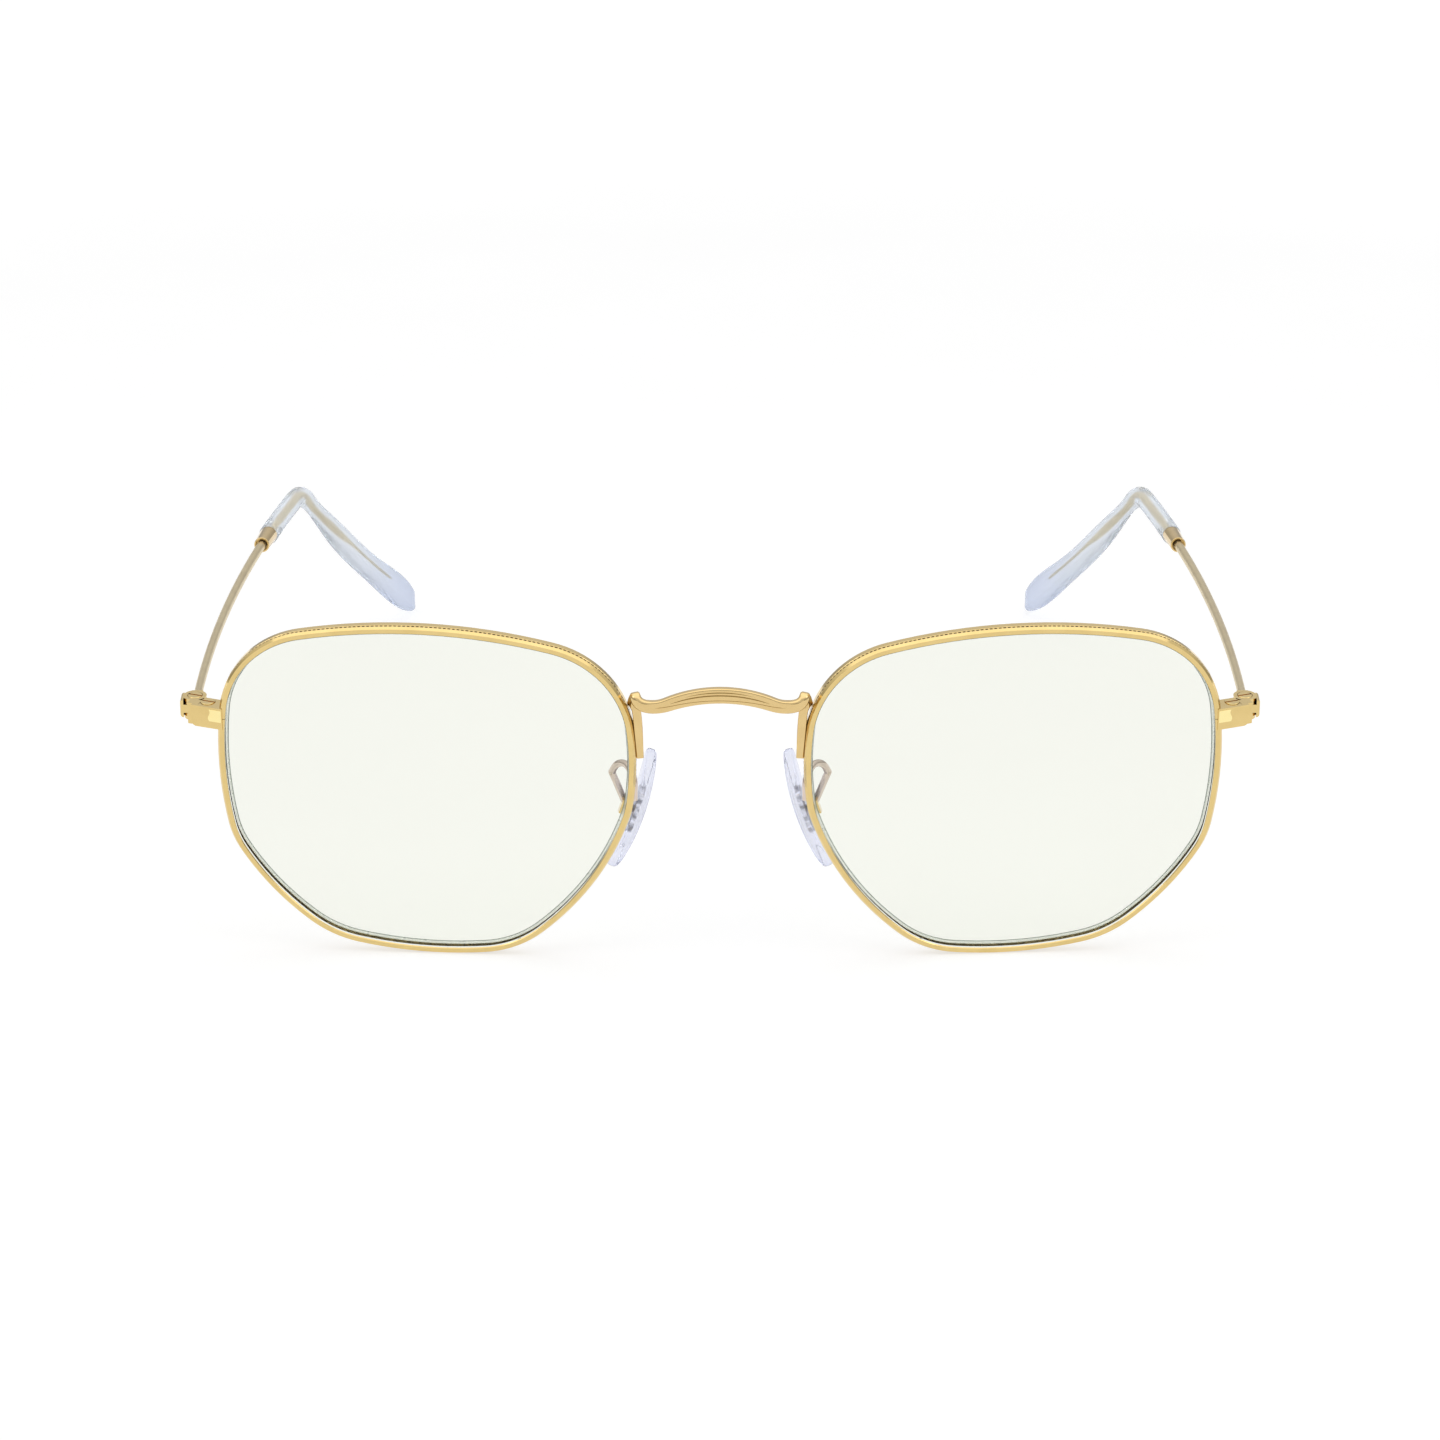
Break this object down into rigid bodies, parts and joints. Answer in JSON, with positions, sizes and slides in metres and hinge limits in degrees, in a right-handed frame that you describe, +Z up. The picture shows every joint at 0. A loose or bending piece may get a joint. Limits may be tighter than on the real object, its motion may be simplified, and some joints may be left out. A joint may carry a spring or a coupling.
{
  "type": "hexagonal eyeglasses",
  "caption": "Wire-rimmed eyeglasses with hexagonal clear lenses, an arched metal bridge, folding temples with clear tips and rocking nose pads.",
  "frame": {"origin": "on the surface the open glasses stand on, under the middle of their bounding box", "axes": "+Z up, +Y back along the temples, +X to the wearer's left"},
  "size_m": [0.1328, 0.1432, 0.0444],
  "materials": {
    "gold": "polished gold plate",
    "pale_gold": "polished gold plate",
    "silver": "polished",
    "lens": "clear, faint warm tint",
    "clear_tip": "clear",
    "clear_pad": "clear"
  },
  "bodies": {
    "front": {"bridge": "gold", "rim_left": "gold", "lens_left": "lens", "lock_block_upper_left": "gold", "lock_block_lower_left": "gold", "lock_screw_left": "gold", "endpiece_plate_left": "gold", "hinge_front_leaf_left": "gold", "hinge_screw_left": "gold", "pad_arm_left": "pale_gold", "pad_box_left": "gold", "pad_screw_left": "gold", "rim_right": "gold", "lens_right": "lens", "lock_block_upper_right": "gold", "lock_block_lower_right": "gold", "lock_screw_right": "gold", "endpiece_plate_right": "gold", "hinge_front_leaf_right": "gold", "hinge_screw_right": "gold", "pad_arm_right": "pale_gold", "pad_box_right": "gold", "pad_screw_right": "gold"},
    "temple_left": {"hinge_temple_leaf_left": "gold", "temple_wire_left": "gold", "ferrule_left": "gold", "temple_tip_left": "clear_tip"},
    "pad_left": {"pad_insert_left": "silver", "nose_pad_left": "clear_pad"},
    "temple_right": {"hinge_temple_leaf_right": "gold", "temple_wire_right": "gold", "ferrule_right": "gold", "temple_tip_right": "clear_tip"},
    "pad_right": {"pad_insert_right": "silver", "nose_pad_right": "clear_pad"}
  },
  "joints": [
    {"name": "temple_left_fold", "type": "hinge", "parent": "front", "child": "temple_left", "pos_m": [0.06458, -0.06279, 0.03193], "axis": [0, -0.1045, 0.9945], "range_deg": [0, 80]},
    {"name": "temple_right_fold", "type": "hinge", "parent": "front", "child": "temple_right", "pos_m": [-0.06458, -0.06279, 0.03193], "axis": [0, 0.1045, -0.9945], "range_deg": [0, 77]},
    {"name": "pad_left_rock", "type": "hinge", "parent": "front", "child": "pad_left", "pos_m": [0.01156, -0.05962, 0.01755], "axis": [-0.101, -0.9824, 0.157], "range_deg": [-12, 12]},
    {"name": "pad_right_rock", "type": "hinge", "parent": "front", "child": "pad_right", "pos_m": [-0.01156, -0.05962, 0.01755], "axis": [-0.101, 0.9824, -0.157], "range_deg": [-12, 12]}
  ]
}
